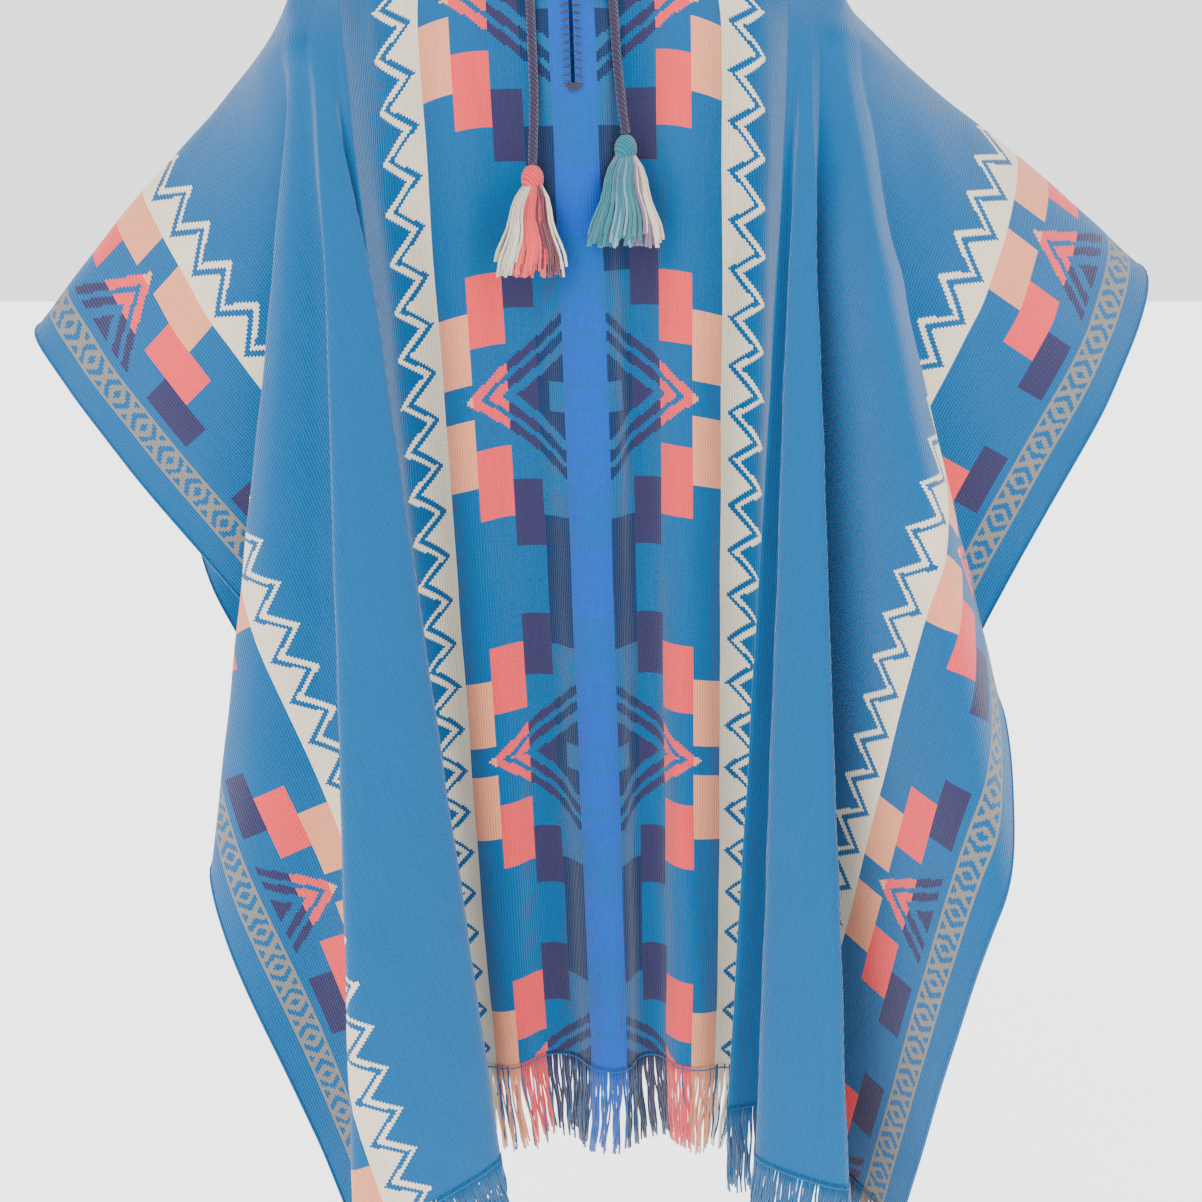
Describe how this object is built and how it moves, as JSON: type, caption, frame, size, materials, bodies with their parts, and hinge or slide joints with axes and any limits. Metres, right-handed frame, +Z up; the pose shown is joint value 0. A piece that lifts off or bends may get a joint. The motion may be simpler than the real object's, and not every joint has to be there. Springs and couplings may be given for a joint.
{
  "type": "wool poncho",
  "caption": "Open-sided woven wool poncho, worn, with a slit neck drawn in by a tasselled cord and fringed hems.",
  "frame": {"origin": "the neck point: middle of the neck hole on the shoulder line, where the garment is held", "axes": "+Z up, -Y the front, +X toward the viewer's right when the front is seen"},
  "size_m": [0.907, 0.4665, 1.0986],
  "materials": {
    "cloth": "plain weave wool with a woven pattern",
    "binding": "folded wool band",
    "cord": "braided wool",
    "yarn": "loose wool yarn",
    "fringe": "loose wool yarn",
    "wood": "smooth turned wood"
  },
  "bodies": {
    "root": {"front_panel": "cloth", "back_panel": "cloth", "neck_binding": "binding", "cord_left": "cord", "cord_right": "cord", "tassel_left": "yarn", "tassel_right": "yarn", "button": "wood", "fringe_front": "fringe", "fringe_back": "fringe"}
  },
  "joints": []
}
